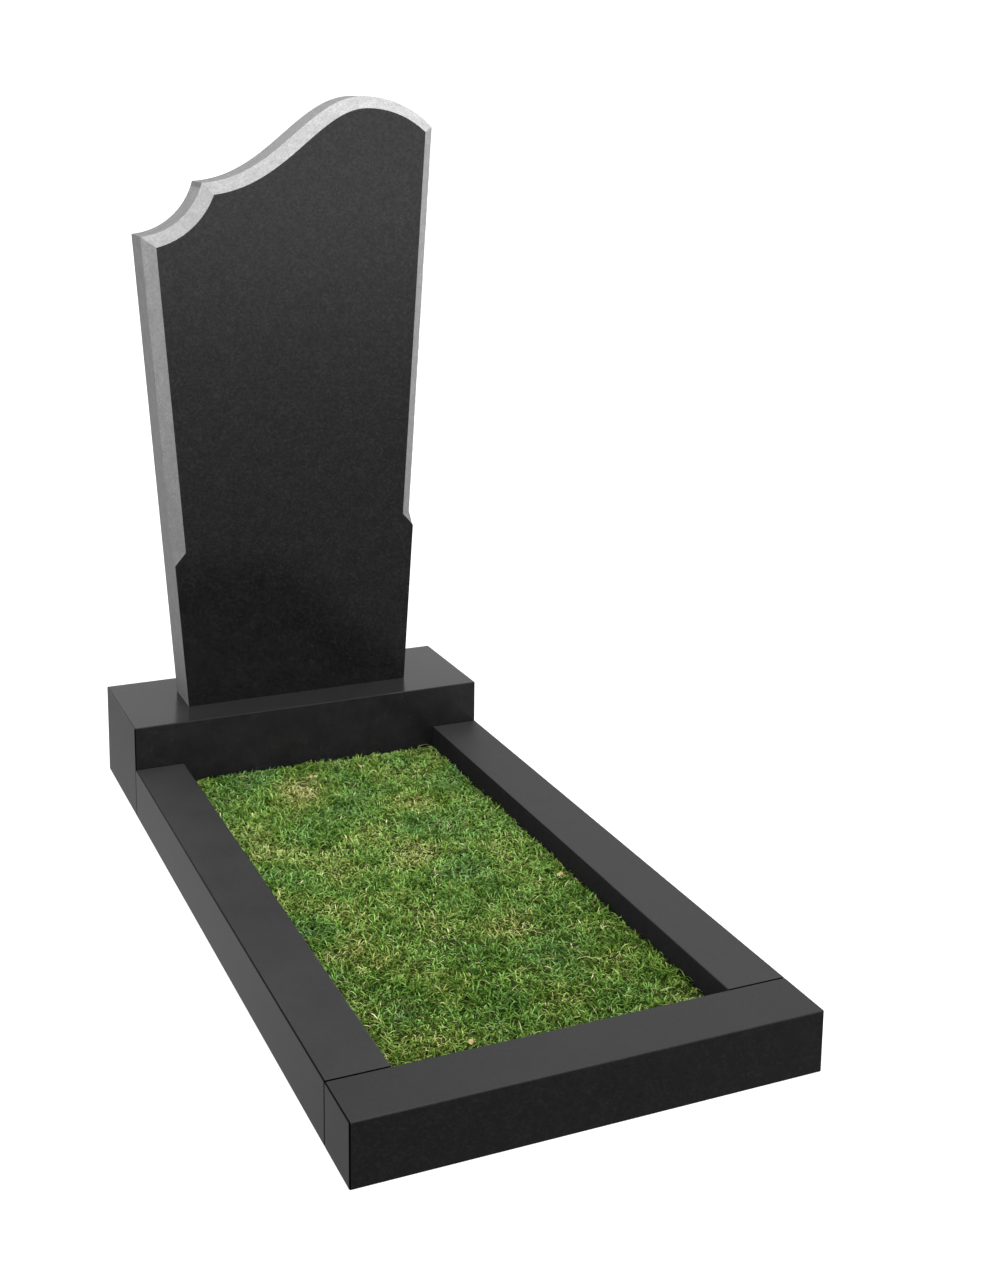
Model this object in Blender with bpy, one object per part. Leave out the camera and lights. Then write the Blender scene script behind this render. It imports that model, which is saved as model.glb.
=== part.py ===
"""Grave monument: a stele with a swept top on a plinth, and a kerb round a bed of turf.

Metres, +Z up. X runs across the front and +Y from the front kerb to the plinth's back.
The origin is on the ground, in the middle of the footprint.
"""

import math

import bmesh
import bpy
from mathutils import Vector
from mathutils.geometry import interpolate_bezier, intersect_line_line_2d

# Plinth, the block that the stele stands on
PLINTH_WIDTH = 0.60
PLINTH_DEPTH = 0.21
PLINTH_HEIGHT = 0.15

# Kerb, two side stones between the plinth and a front stone
KERB_HEIGHT = 0.08
SIDE_KERB_WIDTH = 0.08
SIDE_KERB_LENGTH = 0.92
FRONT_KERB_DEPTH = 0.08

# Stele, seen from the front
STELE_WIDTH = 0.50
STELE_FOOT_WIDTH = 0.386
STELE_HEIGHT = 1.00
STELE_THICKNESS = 0.08

# Top of the stele: depths below the crest, and places inwards from the widest points
LEFT_SHOULDER_DROP = 0.219
NOTCH_DROP = 0.136
RIGHT_SHOULDER_DROP = 0.051
NOTCH_INSET = 0.102
CREST_INSET = 0.123
HOLLOW_SAG = 0.021  # how far the hollow over the left shoulder dips below its chord
SWEEP_START = 0.125  # length of the sweep's tangent where it leaves the notch
SWEEP_START_ANGLE = math.radians(2)
SWEEP_END = 0.095  # length of the sweep's tangent where it reaches the crest

# Chamfer round the stele's front, and where it stops above the plinth
CHAMFER = 0.020
LEFT_STOP_HEIGHT = 0.243
RIGHT_STOP_HEIGHT = 0.274

# Turf bed, cut short inside the kerb
TURF_HEIGHT = 0.051
TURF_SWELL = 0.003
TURF_CELL = 0.035
TURF_WAVE_X = 0.19
TURF_WAVE_Y = 0.27

# Fit and finish
JOINT = 0.0003  # gap between stones that touch
ARRIS = 0.0015  # rounding along the edges of the plinth and kerbs
ARRIS_STEPS = 2
HOLLOW_STEPS = 16
SWEEP_STEPS = 32
CREST_STEPS = 18

# Places worked out from the sizes above
TOTAL_LENGTH = FRONT_KERB_DEPTH + SIDE_KERB_LENGTH + PLINTH_DEPTH
FRONT_Y = -TOTAL_LENGTH / 2
BED_FRONT_Y = FRONT_Y + FRONT_KERB_DEPTH
BED_BACK_Y = BED_FRONT_Y + SIDE_KERB_LENGTH
BACK_Y = BED_BACK_Y + PLINTH_DEPTH
OUTER_X = PLINTH_WIDTH / 2
BED_X = OUTER_X - SIDE_KERB_WIDTH


def clear_scene():
    """Remove the objects that a new Blender file starts with."""
    for item in list(bpy.data.objects):
        bpy.data.objects.remove(item, do_unlink=True)


def make_material(name, colour, roughness):
    """A Principled material with one plain colour."""
    material = bpy.data.materials.new(name)
    material.use_nodes = True
    shader = material.node_tree.nodes["Principled BSDF"]
    shader.inputs["Base Color"].default_value = (*colour, 1.0)
    shader.inputs["Roughness"].default_value = roughness
    shader.inputs["Metallic"].default_value = 0.0
    return material


def make_object(name, mesh_builder, material):
    """Put a finished bmesh into the scene as a named object."""
    mesh = bpy.data.meshes.new(name)
    mesh_builder.to_mesh(mesh)
    mesh_builder.free()
    mesh.materials.append(material)
    item = bpy.data.objects.new(name, mesh)
    bpy.context.collection.objects.link(item)
    return item


def make_block(name, low, high, material):
    """A sawn block between two corners, with its edges slightly rounded."""
    low = Vector(low)
    high = Vector(high)
    builder = bmesh.new()
    bmesh.ops.create_cube(builder, size=1.0)
    for vert in builder.verts:
        vert.co = Vector(h if c > 0 else l for c, l, h in zip(vert.co, low, high))
    middle = (low + high) / 2
    bmesh.ops.translate(builder, verts=builder.verts, vec=-middle)
    item = make_object(name, builder, material)
    item.location = middle
    rounding = item.modifiers.new("arris", "BEVEL")
    rounding.width = ARRIS
    rounding.segments = ARRIS_STEPS
    rounding.limit_method = "ANGLE"
    item.data.shade_smooth()
    item.data.set_sharp_from_angle(angle=math.radians(30))
    return item


def make_plinth(material):
    """The block that the stele stands on."""
    low = (-OUTER_X, BED_BACK_Y, 0)
    high = (OUTER_X, BACK_Y, PLINTH_HEIGHT)
    return make_block("plinth", low, high, material)


def make_side_kerb(name, side, material):
    """A side kerb, flush with the plinth's side; side is -1 for left and 1 for right."""
    edges = sorted((side * BED_X, side * OUTER_X))
    low = (edges[0], BED_FRONT_Y + JOINT, 0)
    high = (edges[1], BED_BACK_Y - JOINT, KERB_HEIGHT)
    return make_block(name, low, high, material)


def make_front_kerb(material):
    """The front kerb, which runs across the ends of both side kerbs."""
    low = (-OUTER_X, FRONT_Y, 0)
    high = (OUTER_X, BED_FRONT_Y, KERB_HEIGHT)
    return make_block("kerb_front", low, high, material)


def hollow_points(start, end):
    """An arc that dips below its chord, from the left shoulder to the notch."""
    start = Vector(start)
    end = Vector(end)
    chord = end - start
    half = chord.length / 2
    radius = (half**2 + HOLLOW_SAG**2) / (2 * HOLLOW_SAG)
    upward = Vector((-chord.y, chord.x)).normalized()
    centre = (start + end) / 2 + upward * (radius - HOLLOW_SAG)
    half_angle = math.asin(half / radius)
    points = []
    for step in range(1, HOLLOW_STEPS):
        angle = half_angle * (2 * step / HOLLOW_STEPS - 1)
        across = chord.normalized() * radius * math.sin(angle)
        points.append(centre + across - upward * radius * math.cos(angle))
    return points


def sweep_points(notch, crest):
    """The long sweep up from the notch, level again where it meets the crest."""
    notch = Vector((*notch, 0))
    crest = Vector((*crest, 0))
    leaving = Vector((math.cos(SWEEP_START_ANGLE), math.sin(SWEEP_START_ANGLE), 0))
    first = notch + leaving * SWEEP_START
    last = crest - Vector((SWEEP_END, 0, 0))
    curve = interpolate_bezier(notch, first, last, crest, SWEEP_STEPS + 1)
    return [point.to_2d() for point in curve[1:-1]]


def crest_points(crest, corner):
    """A round arc, level at the crest, down to the right shoulder."""
    across = corner[0] - crest[0]
    down = crest[1] - corner[1]
    radius = (across**2 + down**2) / (2 * down)
    full_angle = math.atan2(across, radius - down)
    points = []
    for step in range(1, CREST_STEPS):
        angle = full_angle * step / CREST_STEPS
        x = crest[0] + radius * math.sin(angle)
        z = crest[1] - radius * (1 - math.cos(angle))
        points.append(Vector((x, z)))
    return points


def edge_point(foot, shoulder, height):
    """The point on a straight leaning side at a height above the foot."""
    share = height / shoulder[1]
    return Vector((foot[0] + (shoulder[0] - foot[0]) * share, height))


def move_inwards(curve, distance):
    """A curve moved to its right-hand side, which is the stone's side of the outline."""
    moved = []
    for index, point in enumerate(curve):
        before = curve[max(index - 1, 0)]
        after = curve[min(index + 1, len(curve) - 1)]
        along = (after - before).normalized()
        moved.append(point + Vector((along.y, -along.x)) * distance)
    return moved


def trim_corner(first, second):
    """Cut two curves off where they cross, so that the first ends where the second begins."""
    for i in range(len(first) - 1, 0, -1):
        for j in range(1, len(second)):
            hit = intersect_line_line_2d(first[i - 1], first[i], second[j - 1], second[j])
            if hit is not None:
                return first[:i] + [hit], [hit] + second[j:]
    raise ValueError("the chamfer is too wide for the top of the stele")


def space_evenly(curve, count):
    """The same curve with a given number of points, evenly spaced along it."""
    reach = [0.0]
    for before, after in zip(curve, curve[1:]):
        reach.append(reach[-1] + (after - before).length)
    points = []
    piece = 0
    for step in range(count):
        target = reach[-1] * step / (count - 1)
        while piece < len(curve) - 2 and reach[piece + 1] < target:
            piece += 1
        share = (target - reach[piece]) / (reach[piece + 1] - reach[piece])
        points.append(curve[piece].lerp(curve[piece + 1], share))
    return points


def join_curves(curves):
    """One run of points from curves that meet end to end."""
    run = list(curves[0])
    for curve in curves[1:]:
        run.extend(curve[1:])
    return run


def stele_outline():
    """The stele seen from the front: the chamfered part's outer and inner points, and both feet.

    The runs go from the left stop up over the top to the right stop. Each outer point has an
    inner point of the same number, where the chamfer meets the front face.
    """
    left_foot = Vector((-STELE_FOOT_WIDTH / 2, 0))
    right_foot = Vector((STELE_FOOT_WIDTH / 2, 0))
    left_shoulder = Vector((-STELE_WIDTH / 2, STELE_HEIGHT - LEFT_SHOULDER_DROP))
    notch = Vector((-STELE_WIDTH / 2 + NOTCH_INSET, STELE_HEIGHT - NOTCH_DROP))
    crest = Vector((STELE_WIDTH / 2 - CREST_INSET, STELE_HEIGHT))
    right_shoulder = Vector((STELE_WIDTH / 2, STELE_HEIGHT - RIGHT_SHOULDER_DROP))
    left_side = [edge_point(left_foot, left_shoulder, LEFT_STOP_HEIGHT + CHAMFER), left_shoulder]
    hollow = [left_shoulder, *hollow_points(left_shoulder, notch), notch]
    sweep = [notch, *sweep_points(notch, crest), crest, *crest_points(crest, right_shoulder)]
    sweep.append(right_shoulder)
    right_side = [right_shoulder, edge_point(right_foot, right_shoulder, RIGHT_STOP_HEIGHT + CHAMFER)]
    outer = [left_side, hollow, sweep, right_side]
    inner = [move_inwards(curve, CHAMFER) for curve in outer]
    for index in range(len(inner) - 1):
        inner[index], inner[index + 1] = trim_corner(inner[index], inner[index + 1])
    outer_run = join_curves([space_evenly(curve, len(curve)) for curve in outer])
    inner_run = join_curves([space_evenly(trimmed, len(full)) for trimmed, full in zip(inner, outer)])
    left_end = [left_foot, edge_point(left_foot, left_shoulder, LEFT_STOP_HEIGHT)]
    right_end = [edge_point(right_foot, right_shoulder, RIGHT_STOP_HEIGHT), right_foot]
    return outer_run, inner_run, left_end, right_end


def make_stele(material):
    """The slab, with a chamfer that stops short of the plinth on both sides."""
    outer_run, inner_run, left_end, right_end = stele_outline()
    middle_y = (BED_BACK_Y + BACK_Y) / 2
    foot_z = PLINTH_HEIGHT + JOINT
    front_y = middle_y - STELE_THICKNESS / 2
    back_y = middle_y + STELE_THICKNESS / 2
    builder = bmesh.new()

    def add_verts(points, y):
        return [builder.verts.new((point.x, y, point.y + foot_z)) for point in points]

    left_corners = add_verts(left_end, front_y)
    right_corners = add_verts(right_end, front_y)
    back = add_verts([*left_end, *outer_run, *right_end], back_y)
    side = [*left_corners, *add_verts(outer_run, front_y + CHAMFER), *right_corners]
    front = [*left_corners, *add_verts(inner_run, front_y), *right_corners]
    builder.faces.new(front)
    builder.faces.new(back)
    for index in range(len(back)):
        following = (index + 1) % len(back)
        builder.faces.new((back[index], back[following], side[following], side[index]))
        ring = [side[index], side[following], front[following], front[index]]
        corners = list(dict.fromkeys(ring))
        if len(corners) > 2:
            builder.faces.new(corners)
    bmesh.ops.recalc_face_normals(builder, faces=builder.faces)
    return make_object("stele", builder, material)


def turf_height(x, y):
    """Height of the mown turf, which rises and falls a little."""
    across = math.sin(math.tau * x / TURF_WAVE_X + 1.3)
    along = math.sin(math.tau * y / TURF_WAVE_Y + 0.4 + 2.0 * x / TURF_WAVE_X)
    return TURF_HEIGHT + TURF_SWELL * across * along


def make_turf(material):
    """The slab of soil and turf that fills the space inside the kerb."""
    half_x = BED_X - JOINT
    low_y = BED_FRONT_Y + JOINT
    high_y = BED_BACK_Y - JOINT
    columns = round(2 * half_x / TURF_CELL)
    rows = round((high_y - low_y) / TURF_CELL)
    builder = bmesh.new()
    bmesh.ops.create_grid(builder, x_segments=columns, y_segments=rows, size=1.0)
    for vert in builder.verts:
        vert.co.x *= half_x
        vert.co.y = low_y + (vert.co.y + 1) / 2 * (high_y - low_y)
    top = bmesh.ops.extrude_face_region(builder, geom=builder.faces[:])
    for vert in top["geom"]:
        if isinstance(vert, bmesh.types.BMVert):
            vert.co.z = turf_height(vert.co.x, vert.co.y)
    bmesh.ops.recalc_face_normals(builder, faces=builder.faces)
    return make_object("turf_bed", builder, material)


def main():
    clear_scene()
    make_plinth(make_material("plinth granite", (0.022, 0.022, 0.024), 0.12))
    make_side_kerb("kerb_left", -1, make_material("left kerb granite", (0.024, 0.024, 0.026), 0.12))
    make_side_kerb("kerb_right", 1, make_material("right kerb granite", (0.024, 0.024, 0.026), 0.12))
    make_front_kerb(make_material("front kerb granite", (0.022, 0.022, 0.024), 0.12))
    make_stele(make_material("stele granite", (0.020, 0.020, 0.022), 0.10))
    make_turf(make_material("turf", (0.135, 0.205, 0.055), 0.85))


main()
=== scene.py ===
# %% [markdown]
# A grave monument in black granite. A tall slab with a swept, lopsided top stands on a plinth,
# and three sawn stones and the plinth frame a bed of turf. The solids come packed from a CAD
# model and stay where they are. This script photographs them as in a studio: it polishes the
# plinth and the kerbs, makes the slab again with its hewn edges, and plants the bed with grass,
# blade by blade.

# %% Load the solids
import math

import bmesh
import bpy
import numpy as np
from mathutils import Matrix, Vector, noise


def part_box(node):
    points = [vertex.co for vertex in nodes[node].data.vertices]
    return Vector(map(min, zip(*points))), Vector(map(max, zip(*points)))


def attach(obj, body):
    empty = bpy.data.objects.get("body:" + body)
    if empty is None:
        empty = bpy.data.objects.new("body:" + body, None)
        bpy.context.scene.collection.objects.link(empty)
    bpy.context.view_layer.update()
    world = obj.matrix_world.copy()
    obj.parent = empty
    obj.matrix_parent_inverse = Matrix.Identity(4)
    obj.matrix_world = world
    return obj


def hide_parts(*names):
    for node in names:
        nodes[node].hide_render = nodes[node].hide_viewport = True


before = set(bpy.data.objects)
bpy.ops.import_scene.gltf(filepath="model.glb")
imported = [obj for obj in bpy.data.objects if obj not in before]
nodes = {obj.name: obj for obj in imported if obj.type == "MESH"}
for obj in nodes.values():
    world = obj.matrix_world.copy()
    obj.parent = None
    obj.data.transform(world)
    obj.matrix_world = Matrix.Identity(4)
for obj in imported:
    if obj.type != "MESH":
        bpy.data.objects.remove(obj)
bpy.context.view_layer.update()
print("solids:", ", ".join(sorted(nodes)))

# %% [markdown]
# The photograph is taken from in front of the left side, a little above the top of the slab, and
# its upright edges stay nearly upright. A lens that points down would make them lean, so the
# camera looks down only a little and its picture is shifted downwards instead, as with a view
# camera. The shift is a share of the picture's longer side. It stays small, because the other
# views keep it, and a larger one would push the monument out of them.

# %% Camera
IMAGE_HEIGHT = 1280  # pixels, the photograph's longer side
SENSOR_SIZE = 36.0
FOCAL_PIXELS = 1635.0
CAMERA_PLACE = (-0.832, -2.068, 1.134)
CAMERA_TURN = math.radians(21.37)
CAMERA_TILT = math.radians(10.53)
CAMERA_SHIFT = (0.09, -0.18)

bpy.ops.object.camera_add(
    location=CAMERA_PLACE,
    rotation=(math.pi / 2 - CAMERA_TILT, 0, -CAMERA_TURN),
)
camera = bpy.context.object
camera.data.sensor_width = SENSOR_SIZE
camera.data.lens = FOCAL_PIXELS / IMAGE_HEIGHT * SENSOR_SIZE
camera.data.shift_x, camera.data.shift_y = CAMERA_SHIFT
bpy.context.scene.camera = camera
bpy.context.scene.view_settings.view_transform = "Standard"
print("lens:", round(camera.data.lens, 2), "mm")

# %% [markdown]
# The room and every finish below are built from shader nodes, so a few helpers come first. One
# feeds a socket, from another node or with a plain value. One adds a node, gives it its settings
# and feeds its inputs. The others add the nodes that are used most: arithmetic, a value carried
# from one span to another, and a colour ramp.

# %% Node helpers


def feed(tree, socket, source):
    """Link another node's output to a socket, or give the socket a plain value."""
    if isinstance(source, bpy.types.NodeSocket):
        tree.links.new(source, socket)
    else:
        socket.default_value = source


def add_node(tree, kind, inputs, **settings):
    """Add a shader node with its settings, feed its inputs, and return its outputs."""
    node = tree.nodes.new("ShaderNode" + kind)
    for setting, value in settings.items():
        setattr(node, setting, value)
    for name, source in inputs.items():
        feed(tree, node.inputs[name], source)
    return node.outputs


def compute(tree, operation, *values):
    """One step of arithmetic, on values that vary or plain numbers."""
    return add_node(tree, "Math", dict(enumerate(values)), operation=operation)["Value"]


def map_range(tree, value, span, result):
    """Carry a value from one span to another, and stop it at the ends."""
    ends = {"From Min": span[0], "From Max": span[1], "To Min": result[0], "To Max": result[1]}
    return add_node(tree, "MapRange", {"Value": value, **ends})["Result"]


def add_ramp(tree, value, stops):
    """A colour that follows a value; stops holds (place, colour) from left to right."""
    ramp = tree.nodes.new("ShaderNodeValToRGB")
    elements = ramp.color_ramp.elements
    for index, (place, colour) in enumerate(stops):
        element = elements[index] if index < 2 else elements.new(place)
        element.position = place
        element.color = (*colour, 1)
    feed(tree, ramp.inputs["Fac"], value)
    return ramp.outputs["Color"]


def grey(level):
    """A colour without a hue."""
    return (level, level, level)


helpers = (feed, add_node, compute, map_range, add_ramp, grey)
print("helpers:", ", ".join(helper.__name__ for helper in helpers))

# %% [markdown]
# Polished black stone shows hardly any colour of its own. What one sees is the room in it, so
# the room comes first. A white studio is brightest at eye level and dimmer overhead and
# underfoot, and here a colour ramp over the height of the view direction makes that room. Its
# left side is a fifth brighter, as from a white wall there. One broad lamp from the front, as
# soft as a large cloth screen, gives the hewn edges and the grass their light side.

# %% Room and lamp
ROOM_POWER = 1.28
ROOM_BRIGHTNESS = (  # sine of the elevation, share of the room's power
    (-1.00, 0.08),
    (-0.75, 0.10),
    (-0.59, 0.20),
    (-0.48, 0.25),
    (-0.42, 0.24),
    (-0.33, 0.19),
    (-0.25, 0.24),
    (-0.16, 0.35),
    (-0.13, 0.49),
    (-0.10, 0.72),
    (-0.07, 0.94),
    (-0.05, 1.00),
    (0.00, 1.00),
    (0.08, 0.95),
    (0.17, 0.68),
    (0.34, 0.52),
    (0.50, 0.36),
    (0.72, 0.42),
    (0.85, 1.00),
    (1.00, 1.00),
)
LEFT_WALL = 1.20  # how much brighter the room is on the left
LEFT_WALL_SPAN = (0.1, -0.2)  # over this part of the direction's X it gets brighter
LAMP_POWER = 2.4
LAMP_PLACE = (0, -2, 3)
LAMP_ELEVATION = math.radians(40)
LAMP_TURN = math.radians(15)  # towards the right of the slab's front
LAMP_WIDTH = math.radians(100)

room = bpy.data.worlds.new("studio_room")
room.use_nodes = True
bpy.context.scene.world = room
tree = room.node_tree
background = tree.nodes["Background"].inputs
direction = add_node(tree, "TexCoord", {})["Generated"]
axes = add_node(tree, "SeparateXYZ", {"Vector": direction})
height = map_range(tree, axes["Z"], (-1, 1), (0, 1))
stops = [((sine + 1) / 2, grey(level)) for sine, level in ROOM_BRIGHTNESS]
feed(tree, background["Color"], add_ramp(tree, height, stops))
power = map_range(tree, axes["X"], LEFT_WALL_SPAN, (ROOM_POWER, ROOM_POWER * LEFT_WALL))
feed(tree, background["Strength"], power)

bpy.ops.object.light_add(
    type="SUN",
    location=LAMP_PLACE,
    rotation=(math.pi / 2 - LAMP_ELEVATION, 0, LAMP_TURN),
)
lamp = bpy.context.object
lamp.name = "broad_lamp"
lamp.data.energy = LAMP_POWER
lamp.data.angle = LAMP_WIDTH
lamp.visible_glossy = False
print("lamp:", LAMP_POWER, "at", round(math.degrees(LAMP_ELEVATION)), "degrees")

# %% [markdown]
# The floor is one wide, pale, matte disc, lit from within like a light table, so that hardly any
# shadow shows on it. It lights the stones from below as paper does, and it is kept out of
# the mirror images, because the ramp above already holds the dimmer floor that they show.

# %% Floor
FLOOR_RADIUS = 60.0
FLOOR_PAINT = 0.42
FLOOR_GLOW = 0.77
WHITE = (1, 1, 1, 1)


def new_material(name, colour, roughness, **sockets):
    """A Principled material with plain values; returns it, its node tree and its sockets."""
    material = bpy.data.materials.new(name)
    material.use_nodes = True
    shader = material.node_tree.nodes["Principled BSDF"].inputs
    shader["Base Color"].default_value = (*colour, 1)
    shader["Roughness"].default_value = roughness
    for socket, value in sockets.items():
        shader[socket.replace("_", " ")].default_value = value
    return material, material.node_tree, shader


bpy.ops.object.select_all(action="DESELECT")
bpy.ops.mesh.primitive_circle_add(vertices=96, radius=FLOOR_RADIUS, fill_type="NGON")
floor = bpy.context.object
floor.name = "studio_floor"
paint = new_material(
    "floor_paint", grey(FLOOR_PAINT), 0.9, Emission_Color=WHITE, Emission_Strength=FLOOR_GLOW
)
floor.data.materials.append(paint[0])
floor.visible_glossy = False
print("floor radius:", FLOOR_RADIUS, "m")

# %% [markdown]
# Granite is a mass of crystals a millimetre or two across, each with its own shade, and the
# shades drift slowly over a slab. Both finishes of the stone need this, so it is one node group:
# a Voronoi texture gives every crystal a random value, and a noise texture gives the drift. The
# pattern reads Object coordinates, which are metres here.

# %% Crystal pattern


def new_group(name, inputs, outputs):
    """An empty shader node group; returns it, what it is given and what it gives."""
    group = bpy.data.node_groups.new(name, "ShaderNodeTree")
    group.interface.new_socket("Vector", in_out="INPUT", socket_type="NodeSocketVector")
    for socket_name, value in inputs.items():
        socket = group.interface.new_socket(
            socket_name, in_out="INPUT", socket_type="NodeSocketFloat"
        )
        socket.default_value = value
    for socket_name in outputs:
        group.interface.new_socket(socket_name, in_out="OUTPUT", socket_type="NodeSocketFloat")
    given = group.nodes.new("NodeGroupInput").outputs
    gives = group.nodes.new("NodeGroupOutput").inputs
    return group, given, gives


def add_noise(tree, vector, scale, detail):
    """Soft noise from 0 to 1, with so many patches per metre."""
    return add_node(tree, "TexNoise", {"Vector": vector, "Scale": scale, "Detail": detail})["Fac"]


crystals, given, gives = new_group(
    "granite_crystals",
    {"Crystals per metre": 500.0, "Clouds per metre": 30.0},
    ["Crystal", "Cloud"],
)
cells = {"Vector": given["Vector"], "Scale": given["Crystals per metre"]}
random_colour = add_node(crystals, "TexVoronoi", cells)["Color"]
random_value = add_node(crystals, "SeparateColor", {"Color": random_colour})["Red"]
drift = add_noise(crystals, given["Vector"], given["Clouds per metre"], 4.0)
feed(crystals, gives["Crystal"], random_value)
feed(crystals, gives["Cloud"], drift)
print("group:", crystals.name)

# %% [markdown]
# Dust settles on whatever looks up, even on a polished stone, and greys its shine a little. The
# same grey is also painted light: it stands in for the light that falls on the tops from above.
# The group below finds the faces that look up from the height of their normal, breaks the film up
# with a soft noise and gives a mask. It uses the world's normal, so it stays on top of a stone
# wherever the stone's own axes point.

# %% Settled dust and painted top light
DUST_AND_LIGHT_SLOPE = (0.75, 1.0)  # height of the normal: from no dust to all of it
FILM_NOISE = (0.25, 0.75)  # span of the noise that thins the film
THINNEST_FILM = 0.75

dust, given, gives = new_group("settled_dust", {"Patches per metre": 12.0}, ["Mask"])
normal = add_node(dust, "NewGeometry", {})["Normal"]
upward = add_node(dust, "SeparateXYZ", {"Vector": normal})["Z"]
facing = map_range(dust, upward, DUST_AND_LIGHT_SLOPE, (0, 1))
patches = add_noise(dust, given["Vector"], given["Patches per metre"], 5.0)
thickness = map_range(dust, patches, FILM_NOISE, (THINNEST_FILM, 1))
feed(dust, gives["Mask"], compute(dust, "MULTIPLY", facing, thickness))
print("group:", dust.name)

# %% [markdown]
# Polished, the stone is nearly black. Most crystals swallow the light, some are a little
# greyer, and a few flakes of feldspar glint. The polish itself is a low roughness that changes
# a trifle from crystal to crystal, because the hard ones take a better shine. The ore grains
# among them mirror less than the rest, which a share of metal with a black colour imitates, so
# the grain shows where the stone mirrors something bright and is lost where that is dark.

# %% Polished granite
CRYSTAL_SHADES = ((0.00, -0.50), (0.60, 0.00), (0.90, 0.60), (1.00, 1.60))  # place, change
BLUENESS = 1.04
POLISHED_CLOUDS = ((0.30, grey(0.6)), (0.70, grey(1.0)))
SHINE_CHANGE = (-0.05, 0.08)  # at full speckle, from the hardest crystal to the softest


def add_crystals(tree, crystals_per_metre, clouds_per_metre):
    """Object coordinates and the crystal pattern on them."""
    place = add_node(tree, "TexCoord", {})["Object"]
    inputs = {
        "Vector": place,
        "Crystals per metre": crystals_per_metre,
        "Clouds per metre": clouds_per_metre,
    }
    return place, add_node(tree, "Group", inputs, node_tree=crystals)


def mix_colours(tree, share, first, second, blend_type="MIX"):
    """Mix two colours by a share from 0 to 1."""
    inputs = {"Factor": share, "A": first, "B": second}
    return add_node(tree, "Mix", inputs, data_type="RGBA", blend_type=blend_type)["Result"]


def multiply_colours(tree, first, second):
    """Multiply two colours."""
    return mix_colours(tree, 1.0, first, second, "MULTIPLY")


def mix_values(tree, share, first, second):
    """Mix two values by a share from 0 to 1."""
    return add_node(tree, "Mix", {"Factor": share, "A": first, "B": second})["Result"]


def black_granite(name, depth, speckle, ore, shine, glint, dusty_shine, dust_colour):
    """Black stone. Depth scales its greys and speckle their contrast, ore is the share of black
    metal in the ore grains, shine the roughness and glint how strongly the stone mirrors."""
    material, tree, shader = new_material(
        name, grey(depth), shine, IOR=1.5, Specular_IOR_Level=glint
    )
    place, pattern = add_crystals(tree, 300.0, 35.0)
    stops = []
    for share, change in CRYSTAL_SHADES:
        shade = depth * (1 + speckle * change)
        stops.append((share, (shade, shade, shade * BLUENESS)))
    shades = add_ramp(tree, pattern["Crystal"], stops)
    clouds = add_ramp(tree, pattern["Cloud"], POLISHED_CLOUDS)
    stone = multiply_colours(tree, shades, clouds)
    # The dust film is partly real dust and partly painted light from above, which greys the tops.
    dust_and_light_mask = add_node(tree, "Group", {"Vector": place}, node_tree=dust)["Mask"]
    feed(tree, shader["Base Color"], mix_colours(tree, dust_and_light_mask, stone, (*dust_colour, 1)))
    feed(tree, shader["Metallic"], map_range(tree, pattern["Crystal"], (0, 1), (ore, 0)))
    shines = [shine * (1 + change * speckle) for change in SHINE_CHANGE]
    crystal_shine = map_range(tree, pattern["Crystal"], (0, 1), shines)
    feed(tree, shader["Roughness"], mix_values(tree, dust_and_light_mask, crystal_shine, dusty_shine))
    return material


# The colour of the dust is partly painted light on the tops.
FINISHES = {  # depth, speckle, ore, shine, glint, dusty shine, colour of the dust
    "polished": (0.0066, 0.4, 0.26, 0.17, 0.59, 0.20, (0.027, 0.027, 0.028)),
    "rubbed": (0.0120, 0.2, 0.06, 0.24, 0.475, 0.20, (0.026, 0.026, 0.027)),
    "satin": (0.0045, 0.5, 0.10, 0.18, 0.475, 0.60, (0.034, 0.034, 0.035)),
    # The front kerb's satin is the same finish painted darker, as painted shade.
    "satin_shaded_front": (0.0035, 0.5, 0.10, 0.18, 0.44, 0.60, (0.028, 0.028, 0.029)),
}
STONES = {
    "plinth": "rubbed",
    "kerb_left": "satin",
    "kerb_right": "satin",
    "kerb_front": "satin_shaded_front",
}
granites = {name: black_granite("granite_" + name, *values) for name, values in FINISHES.items()}
for name, finish in STONES.items():
    stone = nodes[name].data
    stone.materials.clear()
    stone.materials.append(granites[finish])
    print(name, "is", finish)

# %% [markdown]
# The kerbs are pointed with black sealant where one stone meets the next. The same black also
# covers the arrises on either side of a joint as painted shade, so each joint reads as a fine
# black line in the groove between two arrises. The outer arrises, where the side of a stone meets
# its top and its front, get the same black as a painted shade line. Joints and arrises are found
# from the place of a point alone. The black is a metal's, which is the one way for a surface to
# mirror nothing. The faces towards the lawn are found in the same way. Splashed soil keeps them
# dull, so they hardly mirror the grass.

# %% Joints, arrises and inner faces
# The black of the joints' sealant, and painted shade on the arrises beside the joints and on the
# outer arrises.
SEALANT_AND_SHADE_BLACK = (0.0015, 0.0015, 0.0015, 1)
BLACK_BAND_REACH = 0.0017  # to either side of a joint: the arris and a little of the flat
DULL_SHINE = 0.85
JOINTS = (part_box("kerb_front")[1].y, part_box("plinth")[0].y)
LAWN_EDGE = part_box("kerb_right")[0].x
EDGE_TOLERANCE = 0.0002


def refine(material, socket_name, change):
    """Put one more step, change(tree, source), before a socket that is already linked."""
    tree = material.node_tree
    socket = tree.nodes["Principled BSDF"].inputs[socket_name]
    feed(tree, socket, change(tree, socket.links[0].from_socket))


def place_axes(tree):
    """The Object coordinates of a point, and how far it is from the middle of the bed."""
    place = add_node(tree, "TexCoord", {})["Object"]
    axes = add_node(tree, "SeparateXYZ", {"Vector": place})
    return axes, compute(tree, "ABSOLUTE", axes["X"])


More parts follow.
